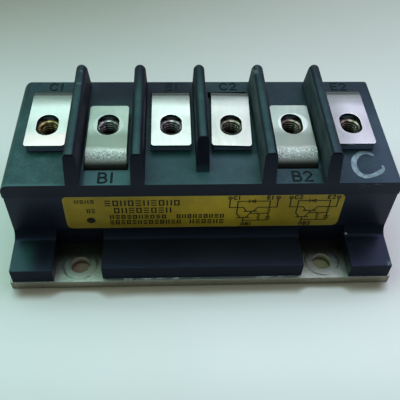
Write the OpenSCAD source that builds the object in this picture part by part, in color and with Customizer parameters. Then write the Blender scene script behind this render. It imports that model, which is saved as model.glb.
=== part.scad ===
// Two-arm darlington transistor module with six screw terminals.
// Millimetres, +Z up. The origin is at the centre of the base plate's underside.
// +X runs along the row of terminals, +Y points to the back, and the label faces -Y.

/* [Base plate] */
// Length of the base plate
plate_l = 108; // [107.2:0.2:112]
// Depth of the base plate, front to back
plate_w = 68.4; // [68:0.2:72]
// Thickness of the base plate
plate_t = 3; // [2.5:0.1:4]
// Mounting hole distance along the length
hole_dx = 70; // [68:0.5:72]
// Mounting hole distance from front to back
hole_dy = 57; // [56:0.5:58]
// Diameter of the mounting holes
hole_d = 5.4; // [4.5:0.1:6]

/* [Case frame] */
// Length over the end walls
case_l = 106.6; // [106:0.1:107]
// Depth over the front and back walls
case_w = 42.6; // [42.2:0.1:43]
// Thickness of the walls
wall = 2.4; // [2:0.1:2.6]
// Height of the walls' top edge above the floor
case_top = 24.6; // [24:0.1:26]
// Thickness of the front and back flanges
flange_t = 5; // [4:0.1:6]
// Depth over the corner posts
post_w = 67.8; // [67:0.1:68]
// Depth over the middle ledges
ledge_w = 66.6; // [65:0.1:67]
// Width of each mounting notch
notch_w = 13.4; // [12:0.1:14]
// Depth of each notch into the wall behind it
notch_in = 0.6; // [0.2:0.1:0.8]
// Radius of the hollow fillet between walls and flanges
fillet_r = 2.5; // [1:0.1:3]

/* [Terminal cover] */
// Overhang of the cover's rim past the walls
rim_over = 0.3; // [0.2:0.05:0.5]
// Height of the cover's rim
rim_h = 4.6; // [4:0.1:5]
// Thickness of the cover's top
cover_t = 2.5; // [2:0.1:3]
// Radius of the rounded edge at the left end of the cover
end_round = 2.4; // [1:0.1:2.5]
// Radius of the cover's back left corner
corner_r = 2.4; // [1:0.1:3]
// Height of the barrier ribs above the cover
rib_h = 9.3; // [7:0.1:11]
// Thickness of a rib at its rounded top
rib_top = 3.1; // [2.4:0.1:3.3]
// Thickness of a rib at its foot
rib_foot = 3.5; // [3.2:0.1:3.8]

/* [Terminals] */
// Distance between neighbouring terminals
pitch = 17.1; // [17:0.1:17.2]
// Width of a terminal strip
strip_w = 11.2; // [10:0.1:12]
// Thickness of a terminal strip
strip_t = 0.8; // [0.6:0.1:1]
// Height of the strips' upper face above the cover
strip_rise = 2.8; // [2.4:0.1:3]
// Outer radius of the strips' bend
bend_r = 5; // [4:0.1:5.4]
// Width of the oblong screw hole in a strip
slot_w = 6; // [5.4:0.1:6.4]
// Length of the oblong screw hole in a strip
slot_l = 8.5; // [7:0.1:9]
// Width across the flats of the nuts
nut_af = 8; // [7.8:0.1:8.2]
// Height of the nuts
nut_h = 4; // [3.5:0.1:4.2]
// Diameter of the nuts' bore, at the crests of the thread
nut_bore = 4.2; // [4:0.05:4.4]

/* [Label] */
// Length of the label
label_l = 77.2; // [60:0.2:80]
// Height of the label
label_h = 13.6; // [10:0.1:13.6]
// Thickness of the label
label_t = 0.15; // [0.1:0.05:0.25]

/* [Hidden] */
$fn = 64;
e = 0.01;

flange_top = plate_t + flange_t;
cover_top = case_top + rim_h;
cover_l = case_l + 2 * rim_over;
cover_w = case_w + 2 * rim_over;
rib_z = cover_top + rib_h;
strip_z = cover_top + strip_rise;      // upper face of the strips
seat_z = strip_z - strip_t;            // upper face of the nut seats
hole_y = -1.2;                         // centre line of the screw holes
nut_z = seat_z - 0.1 - nut_h;          // underside of the nuts
cav_l = case_l - 2 * wall;             // hollow inside the walls
cav_w = case_w - 2 * wall;
lip_gap = 0.15;
lip_t = 1.6;
lip_h = 3;
boss_d = 12.4;
boss_z = 17.6;
well_d = 5.6;
nut_play = 0.2;

// back end of the ribs at their foot and at their top
rib_back = [21.2, 17.8];

// free end and leg position of the long and the reversed strips
long_end = -9.65;
long_leg = 16.1;
rev_end = -6.9;
rev_leg = 15.9;
leg_w = 6;

// inside: layers from the plate upwards
solder_t = 0.2;
tile_t = 0.8;
pad_t = 0.5;
chip_t = 0.45;
tile_z = plate_t + solder_t;
pad_z = tile_z + tile_t;
chip_z = pad_z + pad_t;
chip_top = chip_z + chip_t;
gel_top = 12.5;
seal_top = 17;
wire_r = 0.2;

// the second terminal and the left ribs stand a little off the even pitch
xs = [for (i = [0:5]) (i - 2.5) * pitch - (i == 1 ? 0.5 : 0)];
rib_x = [for (i = [0:4]) (i - 2) * pitch - [0.3, 0.35, 0.1, 0, 0][i]];
arm_x = [-1.5 * pitch, 1.5 * pitch];

// a box from its lowest to its highest corner
module box(a, b) { translate(a) cube(b - a); }

// a rounded rectangle, centred
module plate2d(l, w, r) {
  square([l - 2 * r, w], center = true);
  square([l, w - 2 * r], center = true);
  for (sx = [-1, 1], sy = [-1, 1])
    translate([sx * (l / 2 - r), sy * (w / 2 - r)]) circle(r);
}

// a profile in (Y, Z) drawn out along X, centred
module along_x(len) {
  translate([-len / 2, 0, 0]) rotate([90, 0, 90]) linear_extrude(len) children();
}

// a profile in (X, Z) drawn out along Y, centred
module along_y(len) {
  translate([0, len / 2, 0]) rotate([90, 0, 0]) linear_extrude(len) children();
}

// points of the arc that rounds the corner c between a and b
function unit(v) = v / norm(v);
function corner(a, c, b, r, n) =
  let (u = unit(a - c), v = unit(b - c),
       half = acos(u * v) / 2,
       m = c + unit(u + v) * r / sin(half),
       p = c + u * r / tan(half), q = c + v * r / tan(half),
       a0 = atan2(p[1] - m[1], p[0] - m[0]),
       d0 = atan2(q[1] - m[1], q[0] - m[0]) - a0,
       d = d0 > 180 ? d0 - 360 : (d0 < -180 ? d0 + 360 : d0))
  [for (i = [0:n]) m + r * [cos(a0 + d * i / n), sin(a0 + d * i / n)]];

// ---------------------------------------------------------------- outside

module base_plate() {
  color("silver") difference() {
    linear_extrude(plate_t) plate2d(plate_l, plate_w, 0.5);
    for (sx = [-1, 1], sy = [-1, 1])
      translate([sx * hole_dx / 2, sy * hole_dy / 2, -1]) cylinder(d = hole_d, h = plate_t + 2);
  }
}

module seal_groove() {
  difference() {
    box([-case_l / 2 + 0.9, -case_w / 2 + 0.9, plate_t], [case_l / 2 - 0.9, case_w / 2 - 0.9, plate_t + 0.8]);
    box([-case_l / 2 + 1.9, -case_w / 2 + 1.9, plate_t - 1], [case_l / 2 - 1.9, case_w / 2 - 1.9, plate_t + 2]);
  }
}

module case_frame() {
  px = hole_dx / 2 + notch_w / 2;
  color("#15191d") difference() {
    union() {
      box([-case_l / 2, -case_w / 2, plate_t], [case_l / 2, case_w / 2, case_top]);
      box([-case_l / 2, -ledge_w / 2, plate_t], [case_l / 2, ledge_w / 2, flange_top]);
      for (sx = [0, 1])
        mirror([sx, 0, 0])
          box([px - 2, -post_w / 2, plate_t], [case_l / 2, post_w / 2, flange_top]);
      for (sy = [0, 1])
        mirror([0, sy, 0]) translate([0, -case_w / 2, flange_top]) along_x(case_l) difference() {
          translate([-fillet_r, -0.5]) square([fillet_r + 0.5, fillet_r + 0.5]);
          translate([-fillet_r, fillet_r]) circle(fillet_r);
        }
    }
    box([-cav_l / 2, -cav_w / 2, plate_t - 1], [cav_l / 2, cav_w / 2, case_top + 1]);
    for (sx = [0, 1], sy = [0, 1])
      mirror([sx, 0, 0]) mirror([0, sy, 0])
        box([hole_dx / 2 - notch_w / 2, -post_w / 2 - 1, plate_t - 1],
            [hole_dx / 2 + notch_w / 2, -case_w / 2 + notch_in, flange_top + fillet_r + 0.2]);
    seal_groove();
  }
}

module case_adhesive() { color("#c9c3ae") seal_groove(); }

// side view of a rib, (Y, Z): a slanted front end with a rounded upper corner
module rib_side(foot_front, top_front) {
  z0 = cover_top - 0.5;
  f0 = [foot_front, cover_top];
  f1 = [top_front, rib_z];
  polygon(concat([[foot_front, z0], f0], corner(f0, f1, [24, rib_z], 1, 6),
                 [[24, rib_z + 1], [24, z0]]));
}

// everything in front of a half round that follows the slanted back edge of a rib
module rib_back_round() {
  r = rib_foot / 2 + 0.1;
  lean = atan2(rib_back[0] - rib_back[1], rib_h);
  translate([0, rib_back[1], rib_z]) rotate([lean, 0, 0]) {
    translate([0, -r, -16]) cylinder(r = r, h = 22);
    box([-r - 1, -60, -16], [r + 1, -r, 30]);
  }
}

module rib(x, foot_front, top_front) {
  translate([x, 0, 0]) intersection() {
    along_y(cover_w + 2) {
      polygon([[-rib_foot / 2, cover_top - 0.6], [rib_foot / 2, cover_top - 0.6],
               [rib_top / 2, rib_z - rib_top / 2], [-rib_top / 2, rib_z - rib_top / 2]]);
      translate([0, rib_z - rib_top / 2]) circle(d = rib_top);
    }
    along_x(rib_foot + 2) rib_side(foot_front, top_front);
    rib_back_round();
  }
}

module cover_outline() {
  difference() {
    square([cover_l, cover_w], center = true);
    translate([-cover_l / 2, cover_w / 2]) difference() {
      square(2 * corner_r, center = true);
      translate([corner_r, -corner_r]) circle(corner_r);
      translate([0, -2 * corner_r]) square([2 * corner_r, corner_r]);
      translate([corner_r, -corner_r]) square([corner_r, corner_r]);
    }
  }
}

module terminal_cover() {
  in_l = cav_l - 2 * lip_gap - 2 * lip_t;
  in_w = cav_w - 2 * lip_gap - 2 * lip_t;
  color("#191e22") difference() {
    union() {
      difference() {
        union() {
          translate([0, 0, case_top]) linear_extrude(rim_h) cover_outline();
          box([-cav_l / 2 + lip_gap, -cav_w / 2 + lip_gap, case_top - lip_h],
              [cav_l / 2 - lip_gap, cav_w / 2 - lip_gap, case_top + 0.5]);
        }
        box([-in_l / 2, -in_w / 2, case_top - lip_h - 1], [in_l / 2, in_w / 2, cover_top - cover_t]);
      }
      for (x = xs) translate([x, hole_y, boss_z]) cylinder(d = boss_d, h = cover_top - cover_t - boss_z + 0.5);
      for (i = [0:5])
        if (i % 3 == 1)
          box([xs[i] - strip_w / 2 + 0.3, -9.8, cover_top - 0.5], [xs[i] + strip_w / 2 - 0.3, 6.8, seat_z]);
        else
          box([xs[i] - strip_w / 2 + 0.3, -9, cover_top - 0.5], [xs[i] + strip_w / 2 - 0.3, 9.8, seat_z]);
      for (i = [0:4])
        if (i == 2) rib(rib_x[i], -17.2, -12.8);
        else rib(rib_x[i], -cover_w / 2, -19.3);
    }
    // nut seats and the screw wells below them
    for (x = xs) translate([x, hole_y, 0]) {
      translate([0, 0, nut_z]) cylinder(d = (nut_af + nut_play) / cos(30), h = 10, $fn = 6);
      translate([0, 0, boss_z + 1.5]) cylinder(d = well_d, h = 12);
    }
    // slots for the legs
    for (i = [0:5])
      if (i % 3 == 1)
        box([xs[i] - strip_w / 2 - 0.3, -rev_leg - 0.3, cover_top - cover_t - 1],
            [xs[i] + strip_w / 2 + 0.3, -rev_leg + 2.3, cover_top + 1]);
      else
        box([xs[i] - strip_w / 2 - 0.3, long_leg - 2.3, cover_top - cover_t - 1],
            [xs[i] + strip_w / 2 + 0.3, long_leg + 0.5, cover_top + 1]);
    // rounded left edge
    along_y(cover_w + 2) difference() {
      translate([-cover_l / 2 - 1, cover_top - end_round]) square([end_round + 1, end_round + 1]);
      translate([-cover_l / 2 + end_round, cover_top - end_round]) circle(end_round);
    }
  }
}

// side view of a terminal strip, (Y, Z), from its free end t0 to its leg's outer face t1
module strip_side(t0, t1) {
  translate([t0, strip_z - strip_t]) square([t1 - bend_r - t0, strip_t]);
  translate([t1 - bend_r, strip_z - bend_r]) intersection() {
    difference() { circle(bend_r); circle(bend_r - strip_t); }
    square(bend_r + 1);
  }
  translate([t1 - strip_t, chip_z + 2 * strip_t]) square([strip_t, strip_z - bend_r - chip_z - 2 * strip_t]);
  translate([t1 - 2 * strip_t, chip_z + 2 * strip_t]) intersection() {
    difference() { circle(2 * strip_t); circle(strip_t); }
    translate([0, -3]) square(3);
  }
  translate([t1 - 4.8, chip_z]) square([4.8 - 2 * strip_t, strip_t]);
}

module terminal(i) {
  rev = i % 3 == 1;
  t0 = rev ? rev_end : long_end;
  t1 = rev ? rev_leg : long_leg;
  hy = rev ? -hole_y : hole_y;
  r = 1;
  color("gainsboro") translate([xs[i], 0, 0]) mirror([0, rev ? 1 : 0, 0]) difference() {
    along_x(strip_w) strip_side(t0, t1);
    // narrow leg below the cover
    for (s = [0, 1]) mirror([s, 0, 0])
      box([leg_w / 2, -30, 0], [strip_w, 30, 22]);
    // rounded corners of the free end
    for (s = [0, 1]) mirror([s, 0, 0]) translate([strip_w / 2 - r, t0 + r, seat_z - 1]) difference() {
      translate([0, -r - 1, 0]) cube([r + 1, r + 1, strip_t + 2]);
      translate([0, 0, -1]) cylinder(r = r, h = strip_t + 4);
    }
    // oblong screw hole
    for (s = [-1, 1]) translate([0, hy + s * (slot_l - slot_w) / 2, seat_z - 1]) cylinder(d = slot_w, h = strip_t + 2);
    box([-slot_w / 2, hy - (slot_l - slot_w) / 2, seat_z - 1], [slot_w / 2, hy + (slot_l - slot_w) / 2, strip_z + 1]);
  }
}

module c1_terminal() { terminal(0); }
module b1_terminal() { terminal(1); }
module e1_terminal() { terminal(2); }
module c2_terminal() { terminal(3); }
module b2_terminal() { terminal(4); }
module e2_terminal() { terminal(5); }

module terminal_nuts() {
  lead = 0.7;
  color("#b08d45") for (x = xs) translate([x, hole_y, nut_z]) difference() {
    cylinder(d = nut_af / cos(30), h = nut_h, $fn = 6);
    translate([0, 0, -1]) cylinder(d = nut_bore, h = nut_h + 2);
    translate([0, 0, nut_h - lead]) cylinder(d1 = nut_bore, d2 = nut_bore + 4 * lead, h = 2 * lead);
    translate([0, 0, -lead]) cylinder(d1 = nut_bore + 4 * lead, d2 = nut_bore, h = 2 * lead);
  }
}

module label() {
  color("#c2a722") translate([0.6, -case_w / 2, case_top - 0.1 - label_h / 2])
    rotate([90, 0, 0]) linear_extrude(label_t) plate2d(label_l, label_h, 1.8);
}

// ----------------------------------------------------------------- inside

module base_solder(a) {
  color("#a9adb0") translate([arm_x[a], 0, 0]) box([-22, -16.5, plate_t], [22, 16.5, tile_z]);
}
module substrate(a) {
  color("#f2f0ea") translate([arm_x[a], 0, 0]) box([-23, -17.5, tile_z], [23, 17.5, pad_z]);
}
module collector_pad(a) {
  color("#c98350") translate([arm_x[a], 0, pad_z]) linear_extrude(pad_t)
    polygon([[-22, 9], [-7, 9], [-7, -8.8], [9.5, -8.8], [9.5, 17], [-22, 17]]);
}
module base_pad(a) {
  color("#c98350") translate([arm_x[a], 0, pad_z]) linear_extrude(pad_t)
    polygon([[-11.5, -17], [9, -17], [9, -10.5], [-8, -10.5], [-8, 8], [-11.5, 8]]);
}
module emitter_pad(a) {
  color("#c98350") translate([arm_x[a], 0, 0]) box([11.3, -17, pad_z], [22, 17, chip_z]);
}
module darlington_chip(a) {
  color("#5d6470") translate([arm_x[a], 0, 0]) box([-5.5, 1.2, chip_z], [7.5, 13.2, chip_top]);
}
module freewheel_chip(a) {
  color("#5d6470") translate([arm_x[a], 0, 0]) box([-1, -8, chip_z], [7, 0, chip_top]);
}
module base_resistor(a) {
  color("#2f3336") translate([arm_x[a], 0, 0]) box([6.8, -15, chip_z], [13.5, -12.5, chip_z + 0.6]);
}

// a bond wire along X: a half ring on two short upright ends
module wire(u0, z0, u1, z1, y) {
  zc = max(z0, z1) + 0.3;
  translate([(u0 + u1) / 2, y, zc]) rotate([90, 0, 0])
    rotate_extrude(angle = 180) translate([(u1 - u0) / 2, 0]) circle(wire_r, $fn = 16);
  translate([u0, y, z0]) cylinder(r = wire_r, h = zc - z0, $fn = 16);
  translate([u1, y, z1]) cylinder(r = wire_r, h = zc - z1, $fn = 16);
}
module emitter_wires(a) {
  color("gainsboro") translate([arm_x[a], 0, 0])
    for (y = [-6, -4, -2, 4.5, 7, 9.5, 12]) wire(5, chip_top, 13, chip_z, y);
}
module base_wires(a) {
  color("gainsboro") translate([arm_x[a], 0, 0])
    for (y = [3, 5]) wire(-9.8, chip_z, -4.6, chip_top, y);
}

module base_solder_1() { base_solder(0); }
module base_solder_2() { base_solder(1); }
module substrate_1() { substrate(0); }
module substrate_2() { substrate(1); }
module collector_pad_1() { collector_pad(0); }
module collector_pad_2() { collector_pad(1); }
module base_pad_1() { base_pad(0); }
module base_pad_2() { base_pad(1); }
module emitter_pad_1() { emitter_pad(0); }
module emitter_pad_2() { emitter_pad(1); }
module darlington_chip_1() { darlington_chip(0); }
module darlington_chip_2() { darlington_chip(1); }
module freewheel_chip_1() { freewheel_chip(0); }
module freewheel_chip_2() { freewheel_chip(1); }
module base_resistor_1() { base_resistor(0); }
module base_resistor_2() { base_resistor(1); }
module emitter_wires_1() { emitter_wires(0); }
module emitter_wires_2() { emitter_wires(1); }
module base_wires_1() { base_wires(0); }
module base_wires_2() { base_wires(1); }

// leg and foot of terminal i, as the gel and the resin see them
module leg(i) {
  rev = i % 3 == 1;
  t1 = rev ? rev_leg : long_leg;
  translate([xs[i], 0, 0]) mirror([0, rev ? 1 : 0, 0]) along_x(leg_w) {
    translate([t1 - strip_t, chip_z + 2 * strip_t]) square([strip_t, 30]);
    translate([t1 - 2 * strip_t, chip_z + 2 * strip_t]) intersection() {
      difference() { circle(2 * strip_t); circle(strip_t); }
      translate([0, -3]) square(3);
    }
    translate([t1 - 4.8, chip_z]) square([4.8 - 2 * strip_t, strip_t]);
  }
}

module silicone_gel() {
  color("#dfe6e4") difference() {
    box([-cav_l / 2, -cav_w / 2, plate_t], [cav_l / 2, cav_w / 2, gel_top]);
    for (a = [0, 1]) {
      base_solder(a);
      substrate(a);
      collector_pad(a);
      base_pad(a);
      emitter_pad(a);
      darlington_chip(a);
      freewheel_chip(a);
      base_resistor(a);
      emitter_wires(a);
      base_wires(a);
    }
    for (i = [0:5]) leg(i);
  }
}

module epoxy_seal() {
  color("#22262a") difference() {
    box([-cav_l / 2, -cav_w / 2, gel_top], [cav_l / 2, cav_w / 2, seal_top]);
    for (i = [0:5]) leg(i);
  }
}

base_plate();
case_frame();
terminal_cover();
c1_terminal();
b1_terminal();
e1_terminal();
c2_terminal();
b2_terminal();
e2_terminal();
terminal_nuts();
label();
case_adhesive();
base_solder_1();
base_solder_2();
substrate_1();
substrate_2();
collector_pad_1();
collector_pad_2();
base_pad_1();
base_pad_2();
emitter_pad_1();
emitter_pad_2();
darlington_chip_1();
darlington_chip_2();
freewheel_chip_1();
freewheel_chip_2();
base_resistor_1();
base_resistor_2();
emitter_wires_1();
emitter_wires_2();
base_wires_1();
base_wires_2();
silicone_gel();
epoxy_seal();
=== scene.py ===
import math
import random

import bmesh
import bpy
from mathutils import Matrix, Vector


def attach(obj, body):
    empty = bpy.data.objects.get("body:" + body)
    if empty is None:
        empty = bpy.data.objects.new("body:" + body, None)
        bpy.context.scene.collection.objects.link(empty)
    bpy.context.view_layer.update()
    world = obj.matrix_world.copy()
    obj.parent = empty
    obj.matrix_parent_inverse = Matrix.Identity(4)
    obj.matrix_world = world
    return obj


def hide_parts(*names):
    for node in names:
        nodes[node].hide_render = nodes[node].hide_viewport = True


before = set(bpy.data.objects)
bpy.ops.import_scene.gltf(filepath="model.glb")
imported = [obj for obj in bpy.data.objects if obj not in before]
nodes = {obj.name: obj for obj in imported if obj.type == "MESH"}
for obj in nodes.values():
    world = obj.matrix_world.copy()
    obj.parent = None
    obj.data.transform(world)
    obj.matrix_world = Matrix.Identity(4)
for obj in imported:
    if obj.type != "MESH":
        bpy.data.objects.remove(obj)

scene = bpy.context.scene
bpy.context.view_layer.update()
MM = 0.001

PITCH = 17.1
TERM_X = [(i - 2.5) * PITCH - (0.5 if i == 1 else 0.0) for i in range(6)]
RIB_X = [-34.5, -17.45, -0.1, 17.1, 34.2]
HOLE_Y = -1.2
COVER_TOP = 29.2
STRIP_TOP = 32.0


# ------------------------------------------------------------------ node helpers
class Tree:
    """Short calls for building a node tree."""

    def __init__(self, tree):
        self.t = tree

    def add(self, kind, props=None, **inputs):
        n = self.t.nodes.new(kind)
        for k, v in (props or {}).items():
            setattr(n, k, v)
        for k, v in inputs.items():
            self.put(n.inputs[k.replace("_", " ")], v)
        return n

    def put(self, sock, v):
        if isinstance(v, bpy.types.NodeSocket):
            self.t.links.new(v, sock)
        else:
            sock.default_value = v

    def math(self, op, a, b=0.0, c=None, clamp=False):
        n = self.t.nodes.new("ShaderNodeMath")
        n.operation = op
        n.use_clamp = clamp
        self.put(n.inputs[0], a)
        self.put(n.inputs[1], b)
        if c is not None:
            self.put(n.inputs[2], c)
        return n.outputs[0]

    def span(self, v, a, b, c=0.0, d=1.0, kind="SMOOTHSTEP"):
        n = self.t.nodes.new("ShaderNodeMapRange")
        n.interpolation_type = kind
        for i, x in enumerate((v, a, b, c, d)):
            self.put(n.inputs[i], x)
        return n.outputs[0]

    def noise(self, vec, scale, detail=3.0, rough=0.55, distort=0.0):
        n = self.add("ShaderNodeTexNoise", Vector=vec, Scale=scale, Detail=detail, Roughness=rough, Distortion=distort)
        return n.outputs[0]

    def cells(self, vec, scale, feature="F1"):
        n = self.add("ShaderNodeTexVoronoi", {"feature": feature}, Vector=vec, Scale=scale)
        return n.outputs[0]

    def ramp(self, fac, stops):
        n = self.t.nodes.new("ShaderNodeValToRGB")
        self.put(n.inputs[0], fac)
        e = n.color_ramp.elements
        while len(e) < len(stops):
            e.new(0.5)
        for el, (p, c) in zip(e, stops):
            el.position = p
            el.color = (*c, 1.0)
        return n.outputs[0]

    def mix(self, fac, a, b, blend="MIX"):
        n = self.t.nodes.new("ShaderNodeMix")
        n.data_type = "RGBA"
        n.blend_type = blend
        self.put(n.inputs[0], fac)
        self.put(n.inputs[6], a if isinstance(a, bpy.types.NodeSocket) else (*a, 1.0))
        self.put(n.inputs[7], b if isinstance(b, bpy.types.NodeSocket) else (*b, 1.0))
        return n.outputs[2]

    def xyz(self, vec):
        n = self.add("ShaderNodeSeparateXYZ", Vector=vec)
        return n.outputs[0], n.outputs[1], n.outputs[2]

    def scaled(self, vec, s):
        return self.add("ShaderNodeMapping", Vector=vec, Scale=s).outputs[0]

    def away(self, vec, at):
        """Distance of a point in millimetres from at, in metres."""
        n = self.t.nodes.new("ShaderNodeVectorMath")
        n.operation = "DISTANCE"
        self.put(n.inputs[0], vec)
        n.inputs[1].default_value = [c * MM for c in at]
        return n.outputs["Value"]

    def bump(self, height, strength, distance, normal=None):
        n = self.add("ShaderNodeBump", Height=height, Strength=strength, Distance=distance)
        if normal is not None:
            self.put(n.inputs["Normal"], normal)
        return n.outputs[0]


class Mat(Tree):
    def __init__(self, name, **fixed):
        self.m = bpy.data.materials.new(name)
        self.m.use_nodes = True
        super().__init__(self.m.node_tree)
        self.t.nodes.clear()
        out = self.t.nodes.new("ShaderNodeOutputMaterial")
        self.b = self.t.nodes.new("ShaderNodeBsdfPrincipled")
        self.t.links.new(self.b.outputs[0], out.inputs[0])
        self.p = self.t.nodes.new("ShaderNodeTexCoord").outputs["Object"]
        for k, v in fixed.items():
            self.b.inputs[k.replace("_", " ")].default_value = v

    def set(self, **inputs):
        for k, v in inputs.items():
            self.put(self.b.inputs[k.replace("_", " ")], v)
        return self


# --------------------------------------------------------------------- materials
def moulded_plastic(name, lighter, scuffs, ior, tint, dusty):
    """Satin black thermoset with mottled sheen, fine grain, settled dust and a few scuffs; painted sheen, light and
    shade are laid into its colour in places.
    scuffs: (x, y, z, reach) in mm, where pale rubbing shows."""
    m = Mat(name, IOR=ior, Specular_Tint=(*tint, 1.0))
    x, y, z = m.xyz(m.p)
    wide = m.noise(m.p, 62.0, 4.0, 0.6)
    mid = m.noise(m.p, 410.0, 4.0, 0.62)
    tone = m.math("ADD", m.math("MULTIPLY", wide, 0.6), m.math("MULTIPLY", mid, 0.4))
    d = lighter
    base = m.ramp(tone, [(0.32, (0.0042 * d, 0.0054 * d, 0.0076 * d)), (0.52, (0.0058 * d, 0.0074 * d, 0.0100 * d)), (0.70, (0.0080 * d, 0.0100 * d, 0.0130 * d))])
    rough = m.math("ADD", m.span(wide, 0.3, 0.7, 0.30, 0.35), m.span(mid, 0.3, 0.75, 0.0, 0.04))
    nx, ny, nz = m.xyz(m.add("ShaderNodeNewGeometry").outputs["Normal"])
    up = m.span(nz, 0.75, 0.97)
    front = m.span(ny, -0.9, -0.6, 1.0, 0.0)
    where = m.span(m.noise(m.p, 150.0, 3.0, 0.6), 0.44, 0.66)
    if dusty:
        # a film of dust on the faces that look up, which also carries painted sheen, teal on the left and bluer on the
        # right, and reaches over the rounded ends; thinner towards the back, which is painted shade
        grain = m.math("ADD", m.math("MULTIPLY", m.noise(m.p, 1900.0, 3.0, 0.7), 0.55), m.math("MULTIPLY", m.noise(m.p, 240.0, 3.0, 0.6), 0.45))
        left = m.ramp(grain, [(0.38, (0.0170, 0.0540, 0.0450)), (0.52, (0.0265, 0.0790, 0.0660)), (0.64, (0.0450, 0.1150, 0.0990))])
        right = m.ramp(grain, [(0.38, (0.0200, 0.0370, 0.0440)), (0.52, (0.0285, 0.0520, 0.0610)), (0.64, (0.0440, 0.0730, 0.0850))])
        dust_and_sheen = m.mix(m.span(x, -0.004, 0.046), left, right)
        ends = m.math("MAXIMUM", m.span(x, -0.0506, -0.0514), m.span(x, 0.0520, 0.0525))
        up = m.math("MAXIMUM", up, m.math("MULTIPLY", ends, m.span(nz, 0.30, 0.75)))
        # painted sheen, brighter on the first front bay
        patch = m.math("MULTIPLY", m.span(m.math("ABSOLUTE", m.math("ADD", x, 0.0268)), 0.0060, 0.0084, 1.0, 0.0), m.span(y, -0.0160, -0.0175))
        dust_and_sheen = m.mix(m.math("MULTIPLY", patch, 0.62), dust_and_sheen, (0.0640, 0.1520, 0.1430))
        # painted highlight along the front edge of the first bay
        brink = m.math("MULTIPLY", m.span(x, -0.0400, -0.0350, 1.0, 0.0), m.span(y, -0.0204, -0.0212))
        dust_and_sheen = m.mix(m.math("MULTIPLY", brink, 0.5), dust_and_sheen, (0.0700, 0.1500, 0.1420))
        # painted light in front of the middle strips' free ends, lightest close to them where the strips would shade
        # the cover, then toned down over the whole patch
        mid_bays = m.math("MULTIPLY", m.span(m.math("ABSOLUTE", x), 0.0150, 0.0162, 1.0, 0.0), m.span(y, -0.0100, -0.0106))
        dust_and_sheen = m.mix(m.math("MULTIPLY", mid_bays, m.span(y, -0.0165, -0.0112, 0.30, 0.85)), dust_and_sheen, m.mix(m.span(x, -0.002, 0.004), (0.0420, 0.1010, 0.0950), (0.0720, 0.1260, 0.1390)))
        dust_and_sheen = m.mix(m.math("MULTIPLY", mid_bays, 0.24), dust_and_sheen, (0.0060, 0.0120, 0.0130))
        # painted bluish light towards the right end
        edge = m.math("MULTIPLY", m.span(x, 0.0440, 0.0515), m.span(y, -0.0120, 0.0180, 1.0, 0.25, "LINEAR"))
        dust_and_sheen = m.mix(m.math("MULTIPLY", edge, 0.8), dust_and_sheen, (0.0600, 0.0790, 0.1130))
        # a little darker in front of the last strip
        dust_and_sheen = m.mix(m.math("MULTIPLY", m.span(x, 0.0350, 0.0370), m.span(y, -0.0060, -0.0110, 0.0, 0.22)), dust_and_sheen, (0.0080, 0.0130, 0.0180))
        # thinnest on the back of the second and third bay, painted shade there; less on the ribs
        shaded_back_bays = m.span(m.math("ABSOLUTE", m.math("ADD", x, 0.0170)), 0.0120, 0.0185, 1.0, 0.0)
        least = m.span(shaded_back_bays, 0.0, 1.0, 0.42, 0.05, "LINEAR")
        thick = m.math("MULTIPLY", up, m.span(y, 0.002, 0.0165, 0.95, least))
        thick = m.math("MULTIPLY", thick, m.span(z, 0.0310, 0.0360, 1.0, 0.80))
        # thinner beside the first and last ribs at the front, painted shade
        foot = m.math("MAXIMUM", m.math("MULTIPLY", m.span(x, -0.0330, -0.0328), m.span(x, -0.0321, -0.0312, 1.0, 0.0)), m.math("MULTIPLY", m.span(x, 0.0308, 0.0324), m.span(x, 0.0326, 0.0328, 1.0, 0.0)))
        thick = m.math("MULTIPLY", thick, m.span(m.math("MULTIPLY", foot, m.span(y, -0.0150, -0.0165)), 0.0, 1.0, 1.0, 0.25, "LINEAR"))
        base = m.mix(thick, base, dust_and_sheen)
        rough = m.math("ADD", rough, m.math("MULTIPLY", m.math("MULTIPLY", shaded_back_bays, up), m.span(y, 0.0100, 0.0165, 0.0, 0.16)))
        # the front of the short middle rib is paler towards its foot
        toe = m.math("MULTIPLY", front, m.span(m.math("ABSOLUTE", m.math("ADD", x, 0.0001)), 0.0020, 0.0024, 1.0, 0.0))
        toe = m.math("MULTIPLY", m.math("MULTIPLY", toe, m.span(y, -0.0122, -0.0130)), m.span(y, -0.0178, -0.0180, 1.0, 0.0))
        base = m.mix(m.math("MULTIPLY", toe, m.span(z, 0.0292, 0.0318, 0.85, 0.0)), base, (0.0230, 0.0520, 0.0520))
        # painted light: the steps below the strips' free ends are lifted to a navy grey, standing in for light from the
        # front
        step = m.math("MULTIPLY", m.math("MULTIPLY", front, m.span(y, -0.0106, -0.0102)), m.span(z, 0.0293, 0.0296))
        base = m.mix(step, base, (0.150, 0.185, 0.270))
        # the ribs' flanks are matt
        flank = m.math("MULTIPLY", m.span(m.math("ABSOLUTE", nx), 0.55, 0.9), m.span(z, 0.0293, 0.0300))
        rough = m.math("ADD", rough, m.math("MULTIPLY", flank, 0.32))
        # painted reflection of the strips on the left flanks of the fourth and fifth ribs, in streaks
        painted_reflection_flank = m.math("MULTIPLY", m.math("MULTIPLY", flank, m.span(nx, -0.9, -0.6, 1.0, 0.0)), m.span(x, 0.0100, 0.0150))
        streaks = m.noise(m.scaled(m.p, (200.0, 190.0, 420.0)), 1.0, 3.0, 0.5)
        base = m.mix(painted_reflection_flank, base, m.ramp(streaks, [(0.35, (0.032, 0.044, 0.047)), (0.65, (0.056, 0.070, 0.073))]))
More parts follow.
